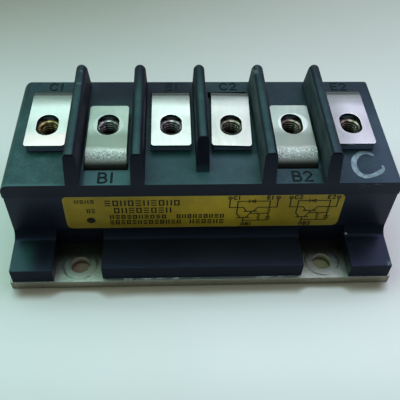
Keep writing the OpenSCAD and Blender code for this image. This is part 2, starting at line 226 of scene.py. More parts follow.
        # painted light on the first rib's right flank
        other = m.math("MULTIPLY", m.math("MULTIPLY", flank, m.span(nx, 0.6, 0.9)), m.span(x, -0.0300, -0.0330))
        base = m.mix(m.math("MULTIPLY", other, 0.8), base, (0.022, 0.026, 0.028))
        rough = m.math("ADD", rough, m.math("MULTIPLY", thick, 0.06))
    fleck = m.math("MULTIPLY", m.span(m.cells(m.p, 620.0), 0.0, 0.13, 1.0, 0.0), 0.5 if dusty else 0.25)
    fleck = m.math("MULTIPLY", m.math("MULTIPLY", fleck, where), up)
    base = m.mix(fleck, base, (0.11, 0.155, 0.155))
    rub = None
    for px, py, pz, reach in scuffs:
        near = m.span(m.away(m.p, (px, py, pz)), 0.25 * reach * MM, reach * MM, 1.0, 0.0)
        rub = near if rub is None else m.math("MAXIMUM", rub, near)
    if rub is not None:
        torn = m.math("MULTIPLY", rub, m.span(m.noise(m.p, 950.0, 4.0, 0.6), 0.44, 0.64))
        torn = m.math("MULTIPLY", torn, m.span(nz, 0.0, 0.45))
        if dusty:
            # fine level scratches on the rim's right end
            line = m.noise(m.scaled(m.p, (330.0, 330.0, 3600.0)), 1.0, 3.0, 0.6)
            here = m.math("MULTIPLY", m.span(m.away(m.p, (45.0, -21.6, 28.0)), 0.0012, 0.0042, 1.0, 0.0), front)
            here = m.math("MULTIPLY", here, m.span(z, 0.0265, 0.0272))
            torn = m.math("MAXIMUM", torn, m.math("MULTIPLY", here, m.span(line, 0.55, 0.66, 0.0, 0.75)))
        base = m.mix(m.math("MULTIPLY", torn, 0.8), base, (0.16, 0.19, 0.20))
        rough = m.math("ADD", rough, m.math("MULTIPLY", torn, 0.25))
    if not dusty:
        # the hollow where flange and wall meet is matt
        hollow = m.math("MULTIPLY", m.span(z, 0.00803, 0.0084), m.span(z, 0.0103, 0.0112, 1.0, 0.0))
        rough = m.math("ADD", rough, m.math("MULTIPLY", hollow, 0.45))
        # painted fill light: the upright walls are a little lighter and bluer than the flanges
        wall = m.math("MULTIPLY", m.span(m.math("ABSOLUTE", nz), 0.2, 0.6, 1.0, 0.0), m.span(z, 0.0100, 0.0118))
        base = m.mix(wall, base, m.ramp(tone, [(0.32, (0.0078, 0.0076, 0.0138)), (0.70, (0.0126, 0.0122, 0.0206))]))
        # painted shade on the flange's front faces, which are also duller; painted light, greener, on top of the left
        # post
        lip = m.math("MULTIPLY", front, m.span(z, 0.0078, 0.0084, 1.0, 0.0))
        base = m.mix(lip, base, (0.0030, 0.0036, 0.0080))
        rough = m.math("ADD", rough, m.math("MULTIPLY", lip, 0.30))
        post = m.math("MULTIPLY", m.math("MULTIPLY", up, m.span(x, -0.0450, -0.0505)), m.math("MULTIPLY", m.span(z, 0.0078, 0.0080), m.span(y, -0.0215, -0.0290)))
        base = m.mix(m.math("MULTIPLY", post, m.span(where, 0.0, 1.0, 0.75, 1.0)), base, (0.0150, 0.0570, 0.0390))
    height = m.noise(m.p, 330.0, 2.0, 0.5)
    m.set(Base_Color=base, Roughness=rough, Normal=m.bump(height, 0.30, 0.00002))
    return m.m


def nickel_plating():
    """Dull nickel over copper: speckled, with washer rings round the mounting holes."""
    m = Mat("nickel_plate", Metallic=1.0)
    x, y, z = m.xyz(m.p)
    ax = m.math("SUBTRACT", m.math("ABSOLUTE", x), 0.035)
    ay = m.math("SUBTRACT", m.math("ABSOLUTE", y), 0.0285)
    r = m.math("SQRT", m.math("ADD", m.math("MULTIPLY", ax, ax), m.math("MULTIPLY", ay, ay)))
    wobble = m.math("MULTIPLY", m.math("SUBTRACT", m.noise(m.p, 700.0, 3.0), 0.5), 0.0012)
    rw = m.math("ADD", r, wobble)
    ring = m.math("MULTIPLY", m.span(rw, 0.0028, 0.0032), m.span(rw, 0.0037, 0.0047, 1.0, 0.0))
    rl = m.math("ADD", r, m.math("MULTIPLY", wobble, 0.9))
    outline = m.math("MULTIPLY", m.span(rl, 0.0043, 0.0047), m.span(rl, 0.0049, 0.0054, 1.0, 0.0))
    outline = m.math("MULTIPLY", outline, m.span(m.noise(m.p, 190.0, 2.0, 0.5), 0.36, 0.58))
    mid = m.noise(m.p, 380.0, 5.0, 0.65)
    fine = m.noise(m.p, 2300.0, 3.0, 0.65)
    tone = m.math("ADD", m.math("MULTIPLY", mid, 0.5), m.math("MULTIPLY", fine, 0.5))
    base = m.ramp(tone, [(0.30, (0.20, 0.20, 0.155)), (0.48, (0.37, 0.385, 0.32)), (0.66, (0.55, 0.57, 0.50))])
    pits = m.span(m.cells(m.p, 900.0), 0.0, 0.16, 1.0, 0.0)
    base = m.mix(m.math("MULTIPLY", pits, 0.7), base, (0.12, 0.105, 0.075))
    bore = m.math("MULTIPLY", m.span(r, 0.00268, 0.00274, 1.0, 0.0), m.span(z, 0.0001, 0.0029))
    # painted shade deep in the notches, towards the wall; painted light towards the plate's front edge
    painted_shade_notch = m.span(m.math("ADD", m.math("ABSOLUTE", y), m.math("MULTIPLY", wobble, 1.5)), 0.0240, 0.0309, 0.94, 0.0)
    base = m.mix(painted_shade_notch, base, (0.034, 0.029, 0.021))
    base = m.mix(m.span(m.math("ABSOLUTE", y), 0.0306, 0.0330, 0.0, 0.60), base, m.ramp(tone, [(0.35, (0.46, 0.48, 0.41)), (0.60, (0.70, 0.74, 0.64))]))
    # a washer kept a ring clean and left a dark outline
    ring = m.math("MULTIPLY", ring, m.span(m.math("ABSOLUTE", y), 0.0256, 0.0290))
    base = m.mix(m.math("MULTIPLY", ring, m.span(mid, 0.38, 0.62, 0.20, 0.75)), base, (0.42, 0.44, 0.39))
    base = m.mix(m.math("MULTIPLY", outline, m.span(fine, 0.35, 0.65, 0.85, 0.55)), base, (0.062, 0.066, 0.052))
    # the narrow margins at the plate's ends are darker
    base = m.mix(m.span(m.math("ABSOLUTE", x), 0.0527, 0.0531, 0.0, 0.75), base, (0.070, 0.066, 0.056))
    # the sawn edge of the plate is duller and browner than its face
    nrm = m.add("ShaderNodeNewGeometry").outputs["Normal"]
    up = m.math("ABSOLUTE", m.xyz(nrm)[2])
    side = m.span(up, 0.2, 0.8, 1.0, 0.0)
    base = m.mix(m.math("MULTIPLY", side, 0.72), base, (0.285, 0.238, 0.182))
    # bright drilled bores, darker at their lower end
    base = m.mix(m.math("MULTIPLY", bore, 0.95), base, m.mix(m.span(z, 0.0005, 0.0016), (0.15, 0.115, 0.08), (0.92, 0.88, 0.82)))
    rough = m.math("ADD", m.span(tone, 0.3, 0.7, 0.50, 0.33), m.math("MULTIPLY", side, 0.14))
    height = m.math("SUBTRACT", m.math("ADD", fine, mid), pits)
    m.set(Base_Color=base, Roughness=rough, Normal=m.bump(height, 0.5, 0.00003))
    return m.m


def strip_plating(name, front_bend, ring_shine, flats=(1.0, 1.0, 1.0), ring_off=(0.0, 0.0)):
    """Plated copper strip: smooth flats, a stretched and grainy bend, a washer ring round the hole.
    flats: tint of the flat part; ring_off: how far the washer ring lies off the hole, in mm."""
    m = Mat(name, Metallic=1.0)
    x, y, z = m.xyz(m.p)
    brushed = m.noise(m.scaled(m.p, (900.0, 70.0, 300.0)), 1.0, 4.0, 0.6)
    wide = m.noise(m.p, 130.0, 3.0, 0.55)
    fine = m.noise(m.p, 2900.0, 3.0, 0.75)
    tone = m.math("ADD", m.math("MULTIPLY", brushed, 0.35), m.math("MULTIPLY", wide, 0.65))
    wave = m.math("MULTIPLY", m.math("SUBTRACT", wide, 0.5), 0.002)
    yy = m.math("ADD", y, wave)
    if front_bend:
        bend = m.span(yy, -0.0120, -0.0096, 1.0, 0.0)
        band = m.math("MULTIPLY", bend, m.span(y, -0.0150, -0.0135))
        low = m.span(y, -0.0156, -0.0138, 1.0, 0.0)
        flat = m.ramp(tone, [(0.30, (0.245, 0.265, 0.245)), (0.50, (0.295, 0.32, 0.29)), (0.70, (0.36, 0.38, 0.35))])
        # the flat grows darker towards the bend; the grainy bend is lighter, a painted highlight
        dull = m.span(yy, -0.0062, -0.0015, 1.0, 0.0)
        flat = m.mix(m.math("MULTIPLY", dull, 0.85), flat, (0.142, 0.152, 0.130))
        flat = m.mix(1.0, flat, flats, "MULTIPLY")
        grain = m.ramp(fine, [(0.36, (0.17, 0.175, 0.155)), (0.48, (0.37, 0.38, 0.345)), (0.62, (0.68, 0.69, 0.63))])
        base = m.mix(band, m.mix(bend, flat, (0.50, 0.485, 0.43)), grain)
    else:
        bend = m.span(yy, 0.0085, 0.0110)
        band = bend
        low = m.span(y, 0.0118, 0.0150)
        near = m.ramp(tone, [(0.30, (0.48, 0.49, 0.465)), (0.50, (0.565, 0.565, 0.54)), (0.70, (0.66, 0.66, 0.63))])
        far = m.ramp(tone, [(0.30, (0.70, 0.71, 0.68)), (0.50, (0.79, 0.80, 0.77)), (0.70, (0.88, 0.89, 0.86))])
        base = m.mix(m.span(yy, -0.002, 0.006), near, far)
        grain = m.ramp(fine, [(0.36, (0.34, 0.34, 0.31)), (0.52, (0.56, 0.57, 0.53)), (0.66, (0.78, 0.79, 0.74))])
        base = m.mix(m.math("MULTIPLY", bend, 0.7), base, grain)
        # painted shade where it turns down, and along the left of the last strip
        turn = m.span(yy, 0.0060, 0.0112)
        base = m.mix(m.math("MULTIPLY", turn, m.span(x, -0.020, 0.020, 0.82, 0.72)), base, (0.13, 0.138, 0.122))
        last = m.math("MULTIPLY", m.span(x, 0.033, 0.0335), m.span(x, 0.0385, 0.0450, 0.62, 0.0))
        base = m.mix(last, base, (0.22, 0.23, 0.22))
        # a painted highlight whitens the first strip in front; the third is a little darker
        first = m.math("MULTIPLY", m.span(x, -0.0340, -0.0345), m.span(yy, -0.0030, -0.0060))
        base = m.mix(first, base, (0.74, 0.58, 0.58))
        third = m.math("MULTIPLY", m.span(m.math("ABSOLUTE", m.math("SUBTRACT", x, 0.00855)), 0.0060, 0.0070, 1.0, 0.0), m.span(yy, 0.0070, 0.0090, 1.0, 0.0))
        base = m.mix(m.math("MULTIPLY", third, 0.5), base, m.mix(1.0, base, (0.72, 0.70, 0.66), "MULTIPLY"))
    # round the hole: burnished by washers
    hx = None
    for i, c in enumerate(TERM_X):
        if (i % 3 == 1) == front_bend:
            off = m.math("ABSOLUTE", m.math("SUBTRACT", x, c * MM))
            hx = off if hx is None else m.math("MINIMUM", hx, off)
    hy = m.math("SUBTRACT", y, HOLE_Y * MM)
    r = m.math("SQRT", m.math("ADD", m.math("MULTIPLY", hx, hx), m.math("MULTIPLY", hy, hy)))
    ox = m.math("SUBTRACT", x, (TERM_X[4] + ring_off[0]) * MM) if ring_off[0] else hx
    oy = m.math("SUBTRACT", hy, ring_off[1] * MM)
    ro = m.math("SQRT", m.math("ADD", m.math("MULTIPLY", ox, ox), m.math("MULTIPLY", oy, oy)))
    rr = m.math("ADD", ro, m.math("MULTIPLY", m.math("SUBTRACT", wide, 0.5), 0.0014))
    ring = m.span(rr, 0.0040, 0.0045, 1.0, 0.0)
    base = m.mix(m.math("MULTIPLY", ring, ring_shine), base, (0.84, 0.85, 0.80))
    # the cut wall of the hole and the strip's edges stay dark
    sx, sy, sz = m.xyz(m.add("ShaderNodeNewGeometry").outputs["Normal"])
    cut = m.math("MULTIPLY", m.span(m.math("ABSOLUTE", sz), 0.1, 0.5, 1.0, 0.0), m.span(r, 0.0046, 0.0052, 1.0, 0.0))
    cut = m.math("MAXIMUM", cut, m.span(m.math("ABSOLUTE", sx), 0.55, 0.90))
    if not front_bend:
        cut = m.math("MAXIMUM", cut, m.math("MULTIPLY", m.span(sy, -0.90, -0.55, 1.0, 0.0), m.span(y, -0.0098, -0.0092, 1.0, 0.0)))
    base = m.mix(m.math("MULTIPLY", cut, 0.9), base, (0.07, 0.075, 0.07))
    # dark pits and stains
    pits = m.span(m.cells(m.p, 330.0), 0.0, 0.055, 1.0, 0.0)
    few = m.span(m.noise(m.p, 190.0, 1.0), 0.46, 0.56)
    base = m.mix(m.math("MULTIPLY", m.math("MULTIPLY", pits, few), 0.85), base, (0.10, 0.09, 0.07))
    stain = m.math("MULTIPLY", low, m.span(wide, 0.25, 0.6, 1.0, 0.6))
    base = m.mix(m.math("MULTIPLY", stain, 0.8), base, (0.22, 0.195, 0.155) if front_bend else (0.150, 0.160, 0.142))
    if front_bend:
        # painted shade where it dives into its slot
        base = m.mix(m.span(z, 0.0297, 0.0311, 0.94, 0.0), base, (0.026, 0.025, 0.021))
    rough = m.math("ADD", m.span(tone, 0.3, 0.7, 0.26, 0.18), m.math("MULTIPLY", bend, 0.14))
    if front_bend:
        rough = m.math("ADD", rough, m.math("ADD", m.math("MULTIPLY", bend, 0.12), 0.12))
    height = m.math("ADD", m.math("MULTIPLY", brushed, 0.12), m.math("MULTIPLY", m.math("MULTIPLY", band, fine), 1.7 if front_bend else 0.8))
    m.set(Base_Color=base, Roughness=rough, Normal=m.bump(height, 0.5, 0.00005))
    return m.m


def nut_metal():
    """Plated nuts, each aged to its own colour: bright countersink, with painted shade on the face and threads."""
    m = Mat("nut_metal", Metallic=1.0)
    x, y, z = m.xyz(m.p)
    own = m.t.nodes.new("ShaderNodeValToRGB")
    m.put(own.inputs[0], m.span(x, -0.0513, 0.0513, 0.0, 1.0, "LINEAR"))
    ramp = own.color_ramp
    ramp.interpolation = "CONSTANT"
    tints = [(0.86, 0.68, 0.26), (0.95, 0.96, 0.90), (0.92, 0.80, 0.80), (0.88, 0.78, 0.58), (0.80, 0.64, 0.52), (0.74, 0.60, 0.48)]
    while len(ramp.elements) < 6:
        ramp.elements.new(0.5)
    for k, (el, c) in enumerate(zip(ramp.elements, tints)):
        el.position = k / 6.0
        el.color = (*c, 1.0)
    fine = m.noise(m.p, 1500.0, 4.0, 0.6)
    base = m.mix(m.span(fine, 0.45, 0.75, 0.0, 0.6), own.outputs[0], (0.20, 0.15, 0.09))
    hx = None
    for c in TERM_X:
        off = m.math("ABSOLUTE", m.math("SUBTRACT", x, c * MM))
        hx = off if hx is None else m.math("MINIMUM", hx, off)
    hy = m.math("SUBTRACT", y, HOLE_Y * MM)
    r = m.math("SQRT", m.math("ADD", m.math("MULTIPLY", hx, hx), m.math("MULTIPLY", hy, hy)))
    # painted shade on the nut's face and down the threads
    shaded_deep = m.math("MAXIMUM", m.span(z, 0.03066, 0.03088, 1.0, 0.0), m.span(r, 0.00279, 0.00284))
    base = m.mix(m.math("MULTIPLY", shaded_deep, 0.98), base, (0.012, 0.009, 0.0075))
    # more painted shade on the front half
    base = m.mix(m.span(hy, -0.0015, -0.0002, 0.88, 0.0), base, (0.014, 0.011, 0.009))
    # the lowest thread crests keep part of their metal colour
    crest = m.math("MULTIPLY", m.span(r, 0.00213, 0.00224, 1.0, 0.0), m.span(z, 0.0280, 0.0300, 0.0, 0.42))
    base = m.mix(crest, base, own.outputs[0])
    m.set(Base_Color=base, Roughness=m.span(fine, 0.3, 0.7, 0.24, 0.40), Normal=m.bump(fine, 0.3, 0.00003))
    return m.m


def label_film():
    m = Mat("label_film", IOR=1.28)
    x, y, z = m.xyz(m.p)
    wide = m.noise(m.p, 48.0, 4.0, 0.6)
    mid = m.noise(m.p, 330.0, 4.0, 0.6)
    tone = m.math("ADD", m.math("MULTIPLY", wide, 0.65), m.math("MULTIPLY", mid, 0.35))
    base = m.ramp(tone, [(0.32, (0.395, 0.250, 0.018)), (0.50, (0.525, 0.335, 0.023)), (0.66, (0.645, 0.420, 0.030))])
    # a soft sheen of brighter yellow in the middle
    glow = m.span(m.math("ABSOLUTE", m.math("SUBTRACT", x, 0.0015)), 0.002, 0.024, 1.0, 0.0)
    base = m.mix(1.0, base, m.ramp(glow, [(0.0, (0.645, 0.645, 0.70)), (1.0, (0.93, 0.93, 0.93))]), "MULTIPLY")
    # painted shade towards the lower edge
    base = m.mix(m.span(z, 0.0125, 0.0160, 0.22, 0.0), base, (0.10, 0.062, 0.008))
    # rubbed pale along the edge and at the right end
    ex = m.math("SUBTRACT", 0.0386, m.math("ABSOLUTE", m.math("SUBTRACT", x, 0.0006)))
    ez = m.math("SUBTRACT", 0.0068, m.math("ABSOLUTE", m.math("SUBTRACT", z, 0.0177)))
    edge = m.span(m.math("MINIMUM", ex, ez), 0.0001, 0.0010, 1.0, 0.0)
    right = m.span(x, 0.031, 0.0392)
    fade = m.math("MULTIPLY", m.math("MAXIMUM", edge, m.math("MULTIPLY", right, 0.6)), m.span(mid, 0.25, 0.6, 0.35, 1.0))
    base = m.mix(m.math("MULTIPLY", fade, 0.22), base, (0.50, 0.43, 0.12))
    m.set(Base_Color=base, Roughness=m.span(mid, 0.3, 0.7, 0.36, 0.50), Normal=m.bump(m.math("ADD", wide, mid), 0.25, 0.00004))
    return m.m


def ink():
    m = Mat("label_ink", IOR=1.22)
    worn = m.noise(m.p, 900.0, 4.0, 0.65)
    base = m.ramp(worn, [(0.30, (0.012, 0.009, 0.006)), (0.60, (0.022, 0.017, 0.010)), (0.78, (0.075, 0.058, 0.016))])
    m.set(Base_Color=base, Roughness=m.span(worn, 0.3, 0.7, 0.42, 0.60))
    return m.m


def silver_paint():
    m = Mat("silver_paint", Metallic=0.35)
    streak = m.noise(m.p, 800.0, 5.0, 0.7)
    wide = m.noise(m.p, 260.0, 3.0)
    base = m.ramp(streak, [(0.30, (0.13, 0.165, 0.19)), (0.50, (0.235, 0.285, 0.325)), (0.72, (0.37, 0.425, 0.465))])
    base = m.mix(m.span(wide, 0.35, 0.65, 0.35, 0.0), base, (0.12, 0.15, 0.17))
    m.set(Base_Color=base, Roughness=m.span(streak, 0.3, 0.7, 0.62, 0.45), Normal=m.bump(streak, 0.5, 0.00006))
    return m.m


def crumbs():
    m = Mat("pale_dust")
    n = m.noise(m.p, 2500.0, 3.0)
    m.set(Base_Color=m.ramp(n, [(0.3, (0.48, 0.46, 0.42)), (0.7, (0.80, 0.79, 0.75))]), Roughness=m.span(n, 0.3, 0.7, 0.7, 0.9))
    return m.m


def plain(name, dark, light, rough, scale, metallic=0.0, bump=0.00001, **fixed):
    """A simple mottled finish for the pieces inside."""
    m = Mat(name, Metallic=metallic, **fixed)
    a = m.noise(m.p, scale, 4.0, 0.6)
    b = m.noise(m.p, scale * 7.0, 3.0, 0.6)
    t = m.math("ADD", m.math("MULTIPLY", a, 0.6), m.math("MULTIPLY", b, 0.4))
    m.set(Base_Color=m.ramp(t, [(0.3, dark), (0.7, light)]), Roughness=m.span(t, 0.3, 0.7, rough * 1.2, rough * 0.85), Normal=m.bump(t, 0.4, bump))
    return m.m


M_CASE = moulded_plastic("case_plastic", 0.9, [(41.8, -23.0, 8.0, 1.2), (-53.0, -33.0, 8.0, 2.0), (53.0, -33.5, 8.0, 2.0)], 1.37, (0.50, 0.60, 0.98), False)
M_COVER = moulded_plastic("cover_plastic", 1.0, [(17.1, 16.3, 38.3, 3.6), (-34.5, 9.2, 38.5, 1.0), (-34.5, 14.5, 38.4, 0.9)], 1.30, (0.60, 0.60, 1.0), True)
M_NICKEL = nickel_plating()
M_STRIP = strip_plating("terminal_metal", False, 0.12)
M_STRIP_B1 = strip_plating("terminal_metal_front_bend", True, 0.16, (1.18, 1.24, 1.20))
M_STRIP_B2 = strip_plating("terminal_metal_front_bend_worn", True, 0.5, (1.34, 1.40, 1.34), (0.5, 0.35))
M_NUT = nut_metal()
M_LABEL = label_film()
M_INK = ink()
M_PAINT = silver_paint()
M_DUST = crumbs()

INNER = {
    "case_adhesive": plain("adhesive", (0.52, 0.50, 0.42), (0.68, 0.66, 0.58), 0.6, 300.0),
    "base_solder": plain("solder", (0.42, 0.43, 0.44), (0.66, 0.67, 0.68), 0.38, 500.0, 1.0),
    "substrate": plain("alumina", (0.80, 0.79, 0.74), (0.90, 0.89, 0.86), 0.5, 400.0),
    "collector_pad": plain("copper", (0.55, 0.27, 0.15), (0.80, 0.46, 0.30), 0.32, 450.0, 1.0),
    "darlington_chip": plain("silicon", (0.20, 0.21, 0.25), (0.32, 0.34, 0.39), 0.2, 600.0, 0.6),
    "base_resistor": plain("resistor", (0.03, 0.03, 0.035), (0.07, 0.07, 0.08), 0.5, 700.0),
    "emitter_wires": plain("bond_wire", (0.70, 0.71, 0.72), (0.86, 0.87, 0.88), 0.25, 900.0, 1.0),
    "silicone_gel": plain("gel", (0.72, 0.77, 0.76), (0.82, 0.86, 0.85), 0.12, 120.0, Transmission_Weight=0.85, IOR=1.41),
    "epoxy_seal": plain("resin", (0.022, 0.025, 0.028), (0.04, 0.044, 0.048), 0.25, 200.0),
}
for alias, of_ in (("base_pad", "collector_pad"), ("emitter_pad", "collector_pad"), ("freewheel_chip", "darlington_chip"), ("base_wires", "emitter_wires")):
    INNER[alias] = INNER[of_]


# ---------------------------------------------------------------- mesh helpers
def raw(node):
    """The vertices and faces of a CAD node, as a new bmesh."""
    me = nodes[node].data
    bm = bmesh.new()
    vs = [bm.verts.new(v.co) for v in me.vertices]
    for p in me.polygons:
        if len(set(p.vertices)) > 2:
            bm.faces.new([vs[i] for i in p.vertices])
    bmesh.ops.remove_doubles(bm, verts=bm.verts[:], dist=2e-6)
    bmesh.ops.dissolve_degenerate(bm, dist=1e-6, edges=bm.edges[:])
    bmesh.ops.dissolve_limit(bm, angle_limit=math.radians(0.4), use_dissolve_boundaries=False, verts=bm.verts[:], edges=bm.edges[:])
    bm.normal_update()
    return bm


def soften(bm, width, segs, angle, pick):
    """Rounds the sharp edges that pick accepts; pick sees the edge's middle in mm."""
    lim = math.radians(angle)
    edges = []
    for e in bm.edges:
        if len(e.link_faces) == 2 and e.calc_face_angle() > lim:
            mid = (e.verts[0].co + e.verts[1].co) * 500.0
            if pick(mid, e):
                edges.append(e)
    bmesh.ops.bevel(bm, geom=edges, offset=width * MM, offset_type="OFFSET", segments=segs, profile=0.5, affect="EDGES", clamp_overlap=True, loop_slide=True, miter_outer="SHARP", miter_inner="SHARP")
    bm.normal_update()


def publish(bm, name, mat, replaces=None, weighted=True, sharp=42.0):
    for f in bm.faces:
        f.smooth = True
    for e in bm.edges:
        e.smooth = not (len(e.link_faces) == 2 and e.calc_face_angle() > math.radians(sharp))
    me = bpy.data.meshes.new(name)
    bm.to_mesh(me)
    bm.free()
    me.materials.append(mat)
    ob = bpy.data.objects.new(name, me)
    scene.collection.objects.link(ob)
    if weighted:
        w = ob.modifiers.new("weighted", "WEIGHTED_NORMAL")
        w.keep_sharp = True
    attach(ob, "root")
    if replaces:
        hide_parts(replaces)
    return ob


# ----------------------------------------------------------------- outer pieces
bm = raw("base_plate")
soften(bm, 0.22, 2, 30, lambda c, e: True)
publish(bm, "base_plate_nickel", M_NICKEL, "base_plate")


def case_edges(c, e):
    inside = abs(c.x) < 51.2 and abs(c.y) < 19.2
    return not inside and c.z > 3.05 and not (abs(c.z - 24.6) < 0.05 and abs(c.x) < 52.5 and abs(c.y) < 20.5)


bm = raw("case_frame")
soften(bm, 0.25, 2, 35, case_edges)
for v in bm.verts:
    # the end walls stand a little proud and draw in towards the tips of the flanges
    if abs(v.co.x) > 52.9 * MM:
        k = min(1.0, max(0.0, (33.9 - abs(v.co.y) / MM) / 12.6))
        v.co.x += (0.28 if v.co.x > 0 else -0.20) * k * MM
bm.normal_update()
publish(bm, "case_frame_moulding", M_CASE, "case_frame")


def cover_edges(c, e):
    if c.z < 24.5:
        return False
    if c.z < 28.9 and abs(c.x) < 52.0 and abs(c.y) < 20.0:
        return False
    if c.z > 30.0:
        for x in TERM_X:
            if abs(c.x - x) < 5.6 and -10.0 < c.y < 10.0:
                return False
    if c.z > 36.2:
        return False
    return True


bm = raw("terminal_cover")
soften(bm, 1.3, 5, 35, lambda c, e: c.x > 53.5 and c.z > 29.1)
soften(bm, 0.22, 2, 35, cover_edges)
# the ribs are a little stouter than drawn, each on its own side: mm to the left, to the right
STOUT = ((-34.5, 0.13, 0.05), (-17.45, 0.15, 0.06), (-0.1, 0.07, 0.07), (17.1, 0.0, 0.34), (34.2, 0.0, 0.22))
for v in bm.verts:
    vx, vy, vz = v.co / MM
    for at, less, more in STOUT:
        if vz > 29.15 and abs(vx - at) < 1.85:
            k = min(1.0, max(0.0, ((vx - at) / 1.75 + 1.0) / 2.0))
            v.co.x += (more * k - less * (1.0 - k)) * MM
    # the left end draws in towards the back
    if vx < -51.0 and vz > 24.5:
        v.co.x += 0.10 * min(1.0, max(0.0, (vy + 6.0) / 20.0)) * MM
bm.normal_update()
publish(bm, "terminal_cover_moulding", M_COVER, "terminal_cover")

# how far each strip's folded end settled off its place: mm to the right and back, turn in radians
SETTLED = {"c1": (-0.32, 0.22, 0.0), "b1": (0.0, 0.15, 0.0), "e1": (0.0, 0.02, 0.0), "c2": (-0.12, -0.20, 0.042), "b2": (0.20, 0.12, 0.0), "e2": (0.16, 0.30, 0.0)}
for i, n in enumerate(("c1", "b1", "e1", "c2", "b2", "e2")):
    bm = raw(n + "_terminal")
    soften(bm, 0.13, 2, 35, lambda c, e: c.z > 26.0)
    off, rear_off, turn = SETTLED[n]
    for v in bm.verts:
        # the leg stays in its slot, so the fold takes up the difference
        k = min(1.0, max(0.0, (v.co.z / MM - 28.8) / 2.2))
        k = k * k * (3.0 - 2.0 * k)
        px, py = v.co.x - TERM_X[i] * MM, v.co.y - HOLE_Y * MM
        v.co.x += k * (off * MM + turn * py)
        v.co.y += k * (rear_off * MM - turn * px)
    bm.normal_update()
    publish(bm, n + "_terminal_strip", (M_STRIP, M_STRIP_B1, M_STRIP, M_STRIP, M_STRIP_B2, M_STRIP)[i], n + "_terminal")

bm = raw("label")
soften(bm, 0.05, 2, 40, lambda c, e: c.y < -21.4)
LABEL_OFF = (-0.10, 0.09)
for v in bm.verts:
    v.co.x += LABEL_OFF[0] * MM
    v.co.z += LABEL_OFF[1] * MM
publish(bm, "label_sticker", M_LABEL, "label")


# ------------------------------------------------------------------ threaded nuts
def threaded_nuts():
    bm = bmesh.new()
    z0, h, af = 27.1, 4.0, 8.0
    nt, nz = 72, 60
    rng = random.Random(5)
    for x in TERM_X:
        turn = rng.random()
        rings = []
        for k in range(nz + 1):
            z = h * k / nz
            row = []
            for j in range(nt):
                a = 2 * math.pi * j / nt
                ph = (z / 0.8 - j / nt + turn) % 1.0
                tri = abs(2 * ph - 1.0)
                r = 2.1 + 0.42 * min(1.0, max(0.0, (tri - 0.12) / 0.7))
                r = max(r, 2.1 + 0.7 - z, 2.1 + 0.7 - (h - z))
                row.append(bm.verts.new(((x + r * math.cos(a)) * MM, (HOLE_Y + r * math.sin(a)) * MM, (z0 + z) * MM)))
            rings.append(row)
        for k in range(nz):
            for j in range(nt):
                j2 = (j + 1) % nt
                bm.faces.new((rings[k][j2], rings[k][j], rings[k + 1][j], rings[k + 1][j2]))

        def hexr(a):
            # flats face +-Y, corners lie on the X axis
            t = (a) % (math.pi / 3) - math.pi / 6
            return af / 2 / math.cos(t)

        loops = []
        for z, cut in ((0.0, 3.85), (0.32, 9.0), (h - 0.32, 9.0), (h, 3.85)):
            row = []
            for j in range(nt):
                a = 2 * math.pi * j / nt
                r = min(hexr(a), cut)
                row.append(bm.verts.new(((x + r * math.cos(a)) * MM, (HOLE_Y + r * math.sin(a)) * MM, (z0 + z) * MM)))
            loops.append(row)
        for k in range(3):
            for j in range(nt):
                j2 = (j + 1) % nt
                bm.faces.new((loops[k][j], loops[k][j2], loops[k + 1][j2], loops[k + 1][j]))
        for j in range(nt):
            j2 = (j + 1) % nt
            bm.faces.new((rings[nz][j], loops[3][j], loops[3][j2], rings[nz][j2]))
            bm.faces.new((loops[0][j], rings[0][j], rings[0][j2], loops[0][j2]))
    bmesh.ops.recalc_face_normals(bm, faces=bm.faces[:])
    return bm


publish(threaded_nuts(), "terminal_nuts_threaded", M_NUT, "terminal_nuts", weighted=False, sharp=35.0)


# ----------------------------------------------------------------- drawn strokes
def arc(cx, cy, rx, ry, a0, a1, n=14):
    return [(cx + rx * math.cos(math.radians(a0 + (a1 - a0) * i / n)), cy + ry * math.sin(math.radians(a0 + (a1 - a0) * i / n))) for i in range(n + 1)]


GLYPHS = {
    "C": [arc(0.36, 0.5, 0.36, 0.5, 42, 318, 22)],
    "E": [[(0.56, 1), (0, 1), (0, 0), (0.58, 0)], [(0, 0.52), (0.48, 0.52)]],
    "B": [[(0, 0), (0, 1), (0.30, 1)] + arc(0.30, 0.765, 0.24, 0.235, 80, -80, 9) + [(0.30, 0.53), (0, 0.53)], [(0.32, 0.53)] + arc(0.32, 0.265, 0.28, 0.265, 80, -80, 9) + [(0.32, 0), (0, 0)]],
    "1": [[(0.10, 0), (0.10, 1)]],
    "2": [arc(0.28, 0.73, 0.28, 0.27, 165, -35, 12) + [(0.0, 0.0), (0.58, 0.0)]],
}
ADVANCE = {"C": 0.98, "E": 0.86, "B": 0.88, "1": 0.24, "2": 0.60}


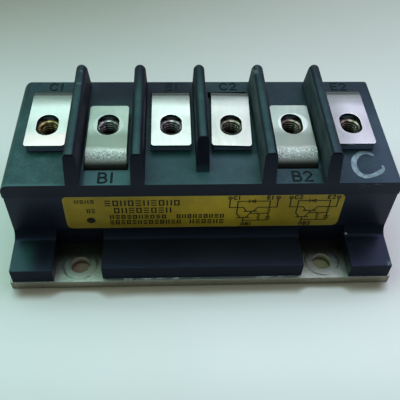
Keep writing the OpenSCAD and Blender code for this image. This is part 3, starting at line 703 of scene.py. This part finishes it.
def stroke(bm, pts, half, profile, place, widths=None):
    """Sweeps a profile of (offset in half widths, height) along a flat open path.
    place turns (u, v, height) into a point in metres."""
    n = len(pts)
    rows = []
    for i in range(n):
        p = Vector(pts[i])
        a = (p - Vector(pts[i - 1])).normalized() if i > 0 else None
        b = (Vector(pts[i + 1]) - p).normalized() if i < n - 1 else None
        if a is None:
            t, k = b, 1.0
        elif b is None:
            t, k = a, 1.0
        else:
            t = (a + b).normalized() if (a + b).length > 1e-6 else a
            k = min(1.0 / max(0.35, t.dot(a)), 1.6)
        side = Vector((-t.y, t.x))
        w = half * (widths[i] if widths else 1.0)
        rows.append([bm.verts.new(place(*(p + side * (o * w * k)), hgt)) for o, hgt in profile])
    m = len(profile)
    for i in range(n - 1):
        for j in range(m - 1):
            bm.faces.new((rows[i][j], rows[i + 1][j], rows[i + 1][j + 1], rows[i][j + 1]))
        bm.faces.new((rows[i][m - 1], rows[i + 1][m - 1], rows[i + 1][0], rows[i][0]))
    # rounded ends
    for i, d in ((0, -1), (n - 1, 1)):
        p = Vector(pts[i])
        q = Vector(pts[i + 1] if i == 0 else pts[i - 1])
        t = (p - q).normalized()
        side = Vector((-t.y, t.x)) * (1 if d > 0 else -1)
        w = half * (widths[i] if widths else 1.0)
        left = m // 2
        steps = 5
        top = rows[i][left]
        first = rows[i][:left]
        last = rows[i][left + 1:]
        fan = [first]
        for s in range(1, steps):
            ang = math.pi * s / steps
            row = []
            for o, hgt in profile[:left]:
                v = side * (math.cos(ang) * o * w) + t * (math.sin(ang) * abs(o) * w)
                row.append(bm.verts.new(place(*(p + v), hgt)))
            fan.append(row)
        fan.append(list(reversed(last)))
        for s in range(steps):
            A, B = fan[s], fan[s + 1]
            for j in range(left - 1):
                bm.faces.new((A[j], A[j + 1], B[j + 1], B[j]))
            bm.faces.new((A[left - 1], top, B[left - 1]))
        bm.faces.new([f[0] for f in fan])


RIDGE = [(-1.0, -0.02), (-0.86, 0.10), (-0.5, 0.20), (0.0, 0.235), (0.5, 0.20), (0.86, 0.10), (1.0, -0.02)]


M_MARKS = plain("cover_plastic_marks", (0.0022, 0.0075, 0.0085), (0.0048, 0.0130, 0.0150), 0.55, 700.0, IOR=1.25)


def write_marks():
    """The terminal designations moulded on the cover."""
    bm = bmesh.new()
    marks = [("C1", -43.6, 19.2, 3.2), ("E1", -8.65, 19.25, 3.1), ("C2", 8.75, 19.3, 3.1), ("E2", 43.4, 19.15, 3.1), ("B1", -26.3, -18.95, 3.4), ("B2", 26.2, -18.95, 3.4)]
    for text, cx, cy, size in marks:
        wide = sum(ADVANCE[c] for c in text) * size * 1.02
        u = cx - wide / 2 + 0.12 * size
        for c in text:
            for path in GLYPHS[c]:
                pts = [(u + a * size * 1.02, cy - size / 2 + b * size) for a, b in path]
                stroke(bm, pts, 0.33 if c in "B" or text[0] == "B" else 0.28, RIDGE, lambda a, b, h: (a * MM, b * MM, (COVER_TOP + h) * MM))
            u += ADVANCE[c] * size * 1.02
    bmesh.ops.recalc_face_normals(bm, faces=bm.faces[:])
    return bm


publish(write_marks(), "terminal_marks", M_MARKS, weighted=False, sharp=60.0)


# -------------------------------------------------------------------- label print
FLAT = [(-1.0, -0.004), (-1.0, 0.016), (0.0, 0.018), (1.0, 0.016), (1.0, -0.004)]


def on_label(u, v, h):
    return ((u + LABEL_OFF[0]) * MM, (-21.45 - h) * MM, (v + LABEL_OFF[1]) * MM)


def bar(bm, x0, z0, x1, z1):
    vs = []
    for h in (-0.004, 0.016):
        for u, v in ((x0, z0), (x1, z0), (x1, z1), (x0, z1)):
            vs.append(bm.verts.new(on_label(u, v, h)))
    for q in ((0, 1, 2, 3), (7, 6, 5, 4), (0, 4, 5, 1), (1, 5, 6, 2), (2, 6, 7, 3), (3, 7, 4, 0)):
        bm.faces.new([vs[k] for k in q])


def label_print():
    bm = bmesh.new()
    rng = random.Random(11)

    def cell(x0, x1, z0, z1, kind, t):
        """One plain figure of bars: a frame, two uprights or three levels."""
        zm = (z0 + z1) / 2
        if kind == 0:
            for q in ((x0, z0, x0 + t, z1), (x1 - t, z0, x1, z1), (x0 + t, z0, x1 - t, z0 + t), (x0 + t, z1 - t, x1 - t, z1)):
                bar(bm, *q)
        elif kind == 1:
            for q in ((x0, z0, x0 + t, z1), (x1 - t, z0, x1, z1)):
                bar(bm, *q)
        else:
            for q in ((x0, z0, x1, z0 + t), (x0, zm - t / 2, x1, zm + t / 2), (x0, z1 - t, x1, z1)):
                bar(bm, *q)

    def blocks(x0, x1, z0, z1, pitch, t, gaps=()):
        """A row of plain bar figures."""
        n = max(1, round((x1 - x0 + 0.25 * pitch) / pitch))
        step = (x1 - x0 + 0.25 * pitch) / n
        was = -1
        for k in range(n):
            kind = rng.randrange(3)
            if kind == was:
                kind = (kind + 1) % 3
            was = kind
            if k not in gaps:
                cell(x0 + k * step, x0 + k * step + 0.75 * step, z0, z1, kind, t)

    blocks(-34.8, -29.5, 21.65, 23.05, 1.38, 0.34)
    blocks(-26.7, -6.3, 20.45, 22.8, 2.06, 0.44)
    blocks(-31.9, -29.6, 17.55, 19.35, 1.25, 0.38)
    blocks(-24.4, -8.6, 17.4, 19.7, 2.02, 0.44)
    blocks(-25.8, -10.1, 14.9, 16.65, 1.57, 0.43)
    blocks(-7.2, 6.1, 14.9, 16.65, 1.60, 0.43)
    blocks(-25.9, -6.0, 12.5, 14.35, 1.57, 0.43)
    blocks(-3.5, 6.1, 12.5, 14.35, 1.75, 0.43)
    # a plain printed disc
    stroke(bm, arc(-31.1, 14.4, 0.62, 0.62, 0, 356, 26), 0.62, FLAT, on_label)

    def line(pts, half=0.18):
        stroke(bm, pts, half, FLAT, on_label)

    def ring(cx, cz, r, half=0.17):
        stroke(bm, arc(cx, cz, r, r, 0, 352, 22), half, FLAT, on_label)

    def zigzag(x, z0, z1):
        n = 6
        pts = [(x, z0)]
        for k in range(n):
            pts.append((x + (0.36 if k % 2 else -0.36), z0 + (z1 - z0) * (k + 0.5) / n))
        line(pts + [(x, z1)], 0.15)

    def small(text, u, v, size):
        for c in text:
            for path in GLYPHS[c]:
                line([(u + a * size * 0.9, v + b * size) for a, b in path], 0.19)
            u += (ADVANCE[c] + 0.12) * size * 0.9

    def circuit(dx, k):
        X = lambda u: u + dx
        ring(X(7.5), 23.3, 0.45, 0.20)
        line([(X(7.5), 22.8), (X(7.5), 19.3), (X(11.4), 19.3), (X(12.3), 17.65)])
        line([(X(11.6), 17.6), (X(15.2), 17.6)], 0.2)
        line([(X(14.2), 17.65), (X(15.5), 19.3), (X(20.7), 19.3), (X(20.7), 22.8)])
        ring(X(20.7), 23.3, 0.45, 0.20)
        line([(X(9.7), 19.3), (X(9.7), 21.9), (X(18.6), 21.9), (X(18.6), 19.3)])
        line([(X(12.8), 22.5), (X(12.8), 21.3)], 0.17)
        line([(X(14.5), 22.5), (X(12.95), 21.9), (X(14.5), 21.3), (X(14.5), 22.5)], 0.16)
        line([(X(9.7), 19.3), (X(9.65), 16.6), (X(10.7), 15.0)])
        line([(X(9.9), 14.9), (X(13.3), 14.9)], 0.2)
        line([(X(12.4), 15.0), (X(13.8), 17.5)])
        line([(X(11.6), 14.9), (X(11.6), 12.4)])
        ring(X(11.6), 11.95, 0.42)
        line([(X(13.7), 16.65), (X(18.6), 16.65)])
        zigzag(X(15.9), 16.65, 13.6)
        line([(X(11.6), 13.6), (X(18.6), 13.6), (X(18.6), 14.3)])
        line([(X(18.0), 15.3), (X(19.2), 15.3)], 0.16)
        line([(X(18.0), 14.3), (X(19.2), 14.3), (X(18.6), 15.2), (X(18.0), 14.3)], 0.15)
        line([(X(18.6), 15.3), (X(18.6), 16.65)])
        zigzag(X(18.6), 16.65, 19.3)
        small("C" + k, X(8.5), 22.7, 1.35)
        small("E" + k, X(17.75), 22.7, 1.35)
        small("B" + k, X(12.5), 11.35, 1.3)

    circuit(0.0, "1")
    circuit(16.75, "2")
    bmesh.ops.recalc_face_normals(bm, faces=bm.faces[:])
    return bm


publish(label_print(), "label_print", M_INK, weighted=False, sharp=40.0)


# -------------------------------------------------------------- paint mark, dust
def paint_ring():
    """A hand-drawn inspection ring of silver paint, left open."""
    bm = bmesh.new()
    rng = random.Random(3)
    knots = [(47.6, -11.15), (46.4, -10.25), (44.8, -10.2), (43.2, -11.2), (41.95, -13.0), (41.5, -14.95), (41.65, -16.85), (42.35, -18.35), (43.65, -19.25), (45.5, -19.0), (47.4, -18.1), (48.85, -17.1), (49.4, -16.3), (49.35, -15.4)]
    pts, widths = [], []
    for k in range(len(knots) - 1):
        # a smooth curve through the knots
        a, b, c, d = (Vector(knots[min(max(j, 0), len(knots) - 1)]) for j in (k - 1, k, k + 1, k + 2))
        for i in range(5):
            t = i / 5.0
            pts.append(tuple(0.5 * (2 * b + (c - a) * t + (2 * a - 5 * b + 4 * c - d) * t * t + (3 * b - a - 3 * c + d) * t ** 3)))
    pts.append(knots[-1])
    n = len(pts) - 1
    for i in range(n + 1):
        end = min(1.0, 0.62 + 3.0 * min(i, n - i) / n)
        if i > 0.86 * n:
            end *= 0.72
        widths.append(end * (1.06 + 0.12 * math.sin(7.0 * i / n - 1.2) + rng.uniform(-0.08, 0.08)))
    prof = [(-1.0, -0.01), (-0.92, 0.03), (-0.5, 0.045), (0.0, 0.04), (0.5, 0.05), (0.92, 0.03), (1.0, -0.01)]
    stroke(bm, pts, 0.68, prof, lambda a, b, h: (a * MM, b * MM, (COVER_TOP + h) * MM), widths)
    bmesh.ops.recalc_face_normals(bm, faces=bm.faces[:])
    return bm


publish(paint_ring(), "paint_ring", M_PAINT, weighted=False, sharp=60.0)


def dust_crumbs():
    """Pale crumbs caught between the case and the plate's front edge, and a few on the case."""
    bm = bmesh.new()
    rng = random.Random(21)

    def crumb(x, y, z, s):
        geo = bmesh.ops.create_icosphere(bm, subdivisions=1, radius=1.0)
        for v in geo["verts"]:
            k = rng.uniform(0.75, 1.2)
            v.co = Vector(((x + v.co.x * s * k * 1.3) * MM, (y + v.co.y * s * k) * MM, (z + max(v.co.z, -0.35) * s * k * 0.6 + 0.2 * s) * MM))

    def streak(x0, x1, y):
        """A smear of pale dust drawn out along the joint."""
        n = 14
        rows = []
        for k in range(n + 1):
            t = k / n
            w = 0.05 + 0.15 * math.sin(math.pi * t) ** 0.6 * rng.uniform(0.65, 1.2)
            xx = x0 + (x1 - x0) * t
            yy = y + rng.uniform(-0.05, 0.05)
            rows.append([bm.verts.new((xx * MM, (yy + o * w) * MM, (3.0 + hgt * w) * MM)) for o, hgt in ((-1.0, -0.05), (-0.5, 0.42), (0.5, 0.42), (1.0, -0.05))])
        for k in range(n):
            for j in range(4):
                bm.faces.new((rows[k][j], rows[k][(j + 1) % 4], rows[k + 1][(j + 1) % 4], rows[k + 1][j]))
        bm.faces.new(rows[0][::-1])
        bm.faces.new(rows[n])

    for x0, x1, y in ((-22.4, -21.0, -33.5), (-17.5, -14.3, -33.62), (-13.0, -11.4, -33.6), (-8.7, -6.6, -33.58), (-1.9, -0.9, -33.6), (15.2, 20.0, -33.66), (21.5, 22.6, -33.62)):
        streak(x0, x1, y)
    for _ in range(26):
        crumb(rng.uniform(-22.0, -9.5), rng.uniform(-33.95, -33.45), 3.0, rng.uniform(0.07, 0.20))
    for _ in range(16):
        crumb(rng.uniform(14.5, 25.5), rng.uniform(-33.95, -33.45), 3.0, rng.uniform(0.06, 0.17))
    for x, y, z, s in ((42.3, -22.6, 8.35, 0.22), (43.1, -26.0, 8.0, 0.06)):
        crumb(x, y, z, s)
    bmesh.ops.recalc_face_normals(bm, faces=bm.faces[:])
    return bm


publish(dust_crumbs(), "dust_crumbs", M_DUST, weighted=False, sharp=80.0)

# ---------------------------------------------------------------- pieces inside
for n, ob in nodes.items():
    if ob.hide_render:
        continue
    key = n[:-2] if n[-2:] in ("_1", "_2") else n
    ob.data.materials.clear()
    ob.data.materials.append(INNER[key])


# ------------------------------------------------------------ floor, light, camera
def pale_floor():
    m = Mat("pale_floor")
    x, y, z = m.xyz(m.p)
    wide = m.noise(m.p, 9.0, 4.0, 0.55)
    fine = m.noise(m.p, 160.0, 4.0, 0.6)
    t = m.math("ADD", m.math("MULTIPLY", wide, 0.7), m.math("MULTIPLY", fine, 0.3))
    left = m.ramp(t, [(0.30, (0.668, 0.668, 0.618)), (0.70, (0.718, 0.715, 0.665))])
    right = m.ramp(t, [(0.30, (0.812, 0.738, 0.712)), (0.70, (0.856, 0.778, 0.754))])
    near = m.mix(m.span(x, -0.07, 0.06), left, right)
    # the sill darkens away from the light, most of all to the back left
    far = m.math("MULTIPLY", m.span(y, -0.01, 0.16), m.span(x, -0.09, 0.09, 1.0, 0.60, "LINEAR"))
    far = m.math("MULTIPLY", far, m.span(m.away(m.p, (0.0, 60.0, 0.0)), 0.16, 0.40, 1.0, 0.0))
    base = m.mix(far, near, (0.195, 0.165, 0.105))
    # the object keeps some light off the sill in front of it
    shade = m.math("MULTIPLY", m.span(y, -0.0440, -0.0365), m.span(m.math("ABSOLUTE", x), 0.035, 0.075, 1.0, 0.0))
    base = m.mix(m.math("MULTIPLY", m.math("MULTIPLY", shade, m.span(y, -0.010, -0.030)), 0.30), base, (0.46, 0.40, 0.30))
    # painted shade, darker further in front
    base = m.mix(m.math("MULTIPLY", m.span(y, -0.055, -0.076), 0.36), base, (0.46, 0.45, 0.42))
    # painted shadow under the plate, seen through its holes
    under = m.math("MULTIPLY", m.span(m.math("ABSOLUTE", x), 0.050, 0.053, 1.0, 0.0), m.span(m.math("ABSOLUTE", y), 0.0320, 0.0335, 1.0, 0.0))
    base = m.mix(under, base, m.mix(m.span(x, -0.02, 0.02), (0.235, 0.160, 0.100), (0.255, 0.215, 0.115)))
    # a painted brown contact shadow along the plate's front edge, narrow below the notches
    notch = m.span(m.math("ABSOLUTE", m.math("SUBTRACT", m.math("ABSOLUTE", x), 0.035)), 0.0045, 0.0085, 1.0, 0.0)
    reach = m.math("ADD", m.span(notch, 0.0, 1.0, 0.0031, 0.0016, "LINEAR"), m.math("MULTIPLY", m.math("SUBTRACT", m.noise(m.p, 45.0, 3.0), 0.5), 0.0020))
    ahead = m.math("SUBTRACT", -0.0342, y)
    stain = m.span(ahead, m.math("MULTIPLY", reach, 0.45), m.math("MULTIPLY", reach, 1.45), 1.0, 0.0)
    stain = m.math("MULTIPLY", stain, m.span(m.math("ABSOLUTE", x), 0.0505, 0.0545, 1.0, 0.0))
    base = m.mix(m.math("MULTIPLY", stain, m.span(y, -0.0335, -0.0342)), base, (0.305, 0.240, 0.165))
    m.set(Base_Color=base, Roughness=m.span(fine, 0.3, 0.7, 0.55, 0.70))
    return m.m


bm = bmesh.new()
bmesh.ops.create_grid(bm, x_segments=4, y_segments=4, size=2.0)
me = bpy.data.meshes.new("floor")
bm.to_mesh(me)
bm.free()
floor = bpy.data.objects.new("floor", me)
me.materials.append(pale_floor())
scene.collection.objects.link(floor)

world = bpy.data.worlds.new("soft_room")
scene.world = world
world.use_nodes = True
w = Tree(world.node_tree)
world.node_tree.nodes.clear()
wout = w.add("ShaderNodeOutputWorld")
bg = w.add("ShaderNodeBackground")
w.t.links.new(bg.outputs[0], wout.inputs[0])
d = w.add("ShaderNodeTexCoord").outputs["Generated"]
dx, dy, dz = w.xyz(d)
# a large soft source high behind the object, two broad side sources, a dark room in front
band = w.math("MULTIPLY", w.span(dz, 0.54, 0.82), w.span(dz, 0.90, 1.0, 1.0, 0.25))
behind = w.span(dy, -0.52, 0.50)
wide_x = w.span(w.math("ABSOLUTE", dx), 0.42, 0.75)
sides = w.math("MULTIPLY", w.math("MULTIPLY", wide_x, w.span(dz, 0.2, 0.6)), w.span(dy, -0.45, 0.05))
rear = w.math("MULTIPLY", w.span(dy, 0.0, 0.9), w.span(dz, -0.1, 0.5))
level = w.math("MULTIPLY", w.math("MULTIPLY", band, behind), 3.5)
level = w.math("ADD", level, w.math("MULTIPLY", sides, 1.5))
level = w.math("ADD", level, w.math("ADD", w.math("MULTIPLY", rear, 0.18), 0.03))
# a small lamp over the viewer's shoulder, which catches the rounded edges
toward = w.math("ADD", w.math("ADD", w.math("MULTIPLY", dx, -0.06), w.math("MULTIPLY", dy, -0.64)), w.math("MULTIPLY", dz, 0.765))
level = w.math("ADD", level, w.math("MULTIPLY", w.span(toward, 0.93, 0.985), 1.3))
tint = w.ramp(w.span(dx, -0.30, 0.40, 0.0, 1.0, "LINEAR"), [(0.07, (0.68, 0.94, 0.88)), (0.40, (0.66, 0.87, 0.84)), (0.58, (0.84, 0.97, 1.00)), (0.86, (0.72, 0.72, 0.96))])
# greener high on the left
high = w.math("MULTIPLY", w.span(dz, 0.68, 0.77), w.span(dx, -0.10, -0.24))
tint = w.mix(high, tint, (0.54, 1.06, 0.93))
w.put(bg.inputs["Color"], tint)
w.put(bg.inputs["Strength"], level)

light = bpy.data.lights.new("side_softbox", "AREA")
light.shape = "DISK"
light.size = 0.8
light.energy = 0.6
light.color = (0.72, 1.0, 0.96)
lamp_ob = bpy.data.objects.new("side_softbox", light)
lamp_ob.location = (-1.25, 1.08, 0.30)
lamp_ob.rotation_euler = (Vector((0.0, 0.0, 0.0)) - lamp_ob.location).to_track_quat("-Z", "Y").to_euler()
scene.collection.objects.link(lamp_ob)

cam = bpy.data.cameras.new("photo_camera")
cam.sensor_fit = "HORIZONTAL"
cam.sensor_width = 36.0
cam.lens = 583.69 * 36.0 / 400.0
cam.clip_start = 0.005
cam.clip_end = 20.0
yaw, pitch_, roll = 0.07209, 0.85741, 0.04362
fw = Vector((math.sin(yaw) * math.cos(pitch_), math.cos(yaw) * math.cos(pitch_), -math.sin(pitch_)))
rt = Vector((math.cos(yaw), -math.sin(yaw), 0.0))
up = rt.cross(fw)
rt2 = math.cos(roll) * rt + math.sin(roll) * up
up2 = -math.sin(roll) * rt + math.cos(roll) * up
rot = Matrix((rt2, up2, -fw)).transposed()
cam_ob = bpy.data.objects.new("photo_camera", cam)
cam_ob.matrix_world = Matrix.Translation(Vector((-8.38356, -125.10329, 142.81946)) * MM) @ rot.to_4x4()
scene.collection.objects.link(cam_ob)
scene.camera = cam_ob
scene.view_settings.view_transform = "Standard"
scene.view_settings.look = "None"

bpy.context.view_layer.update()
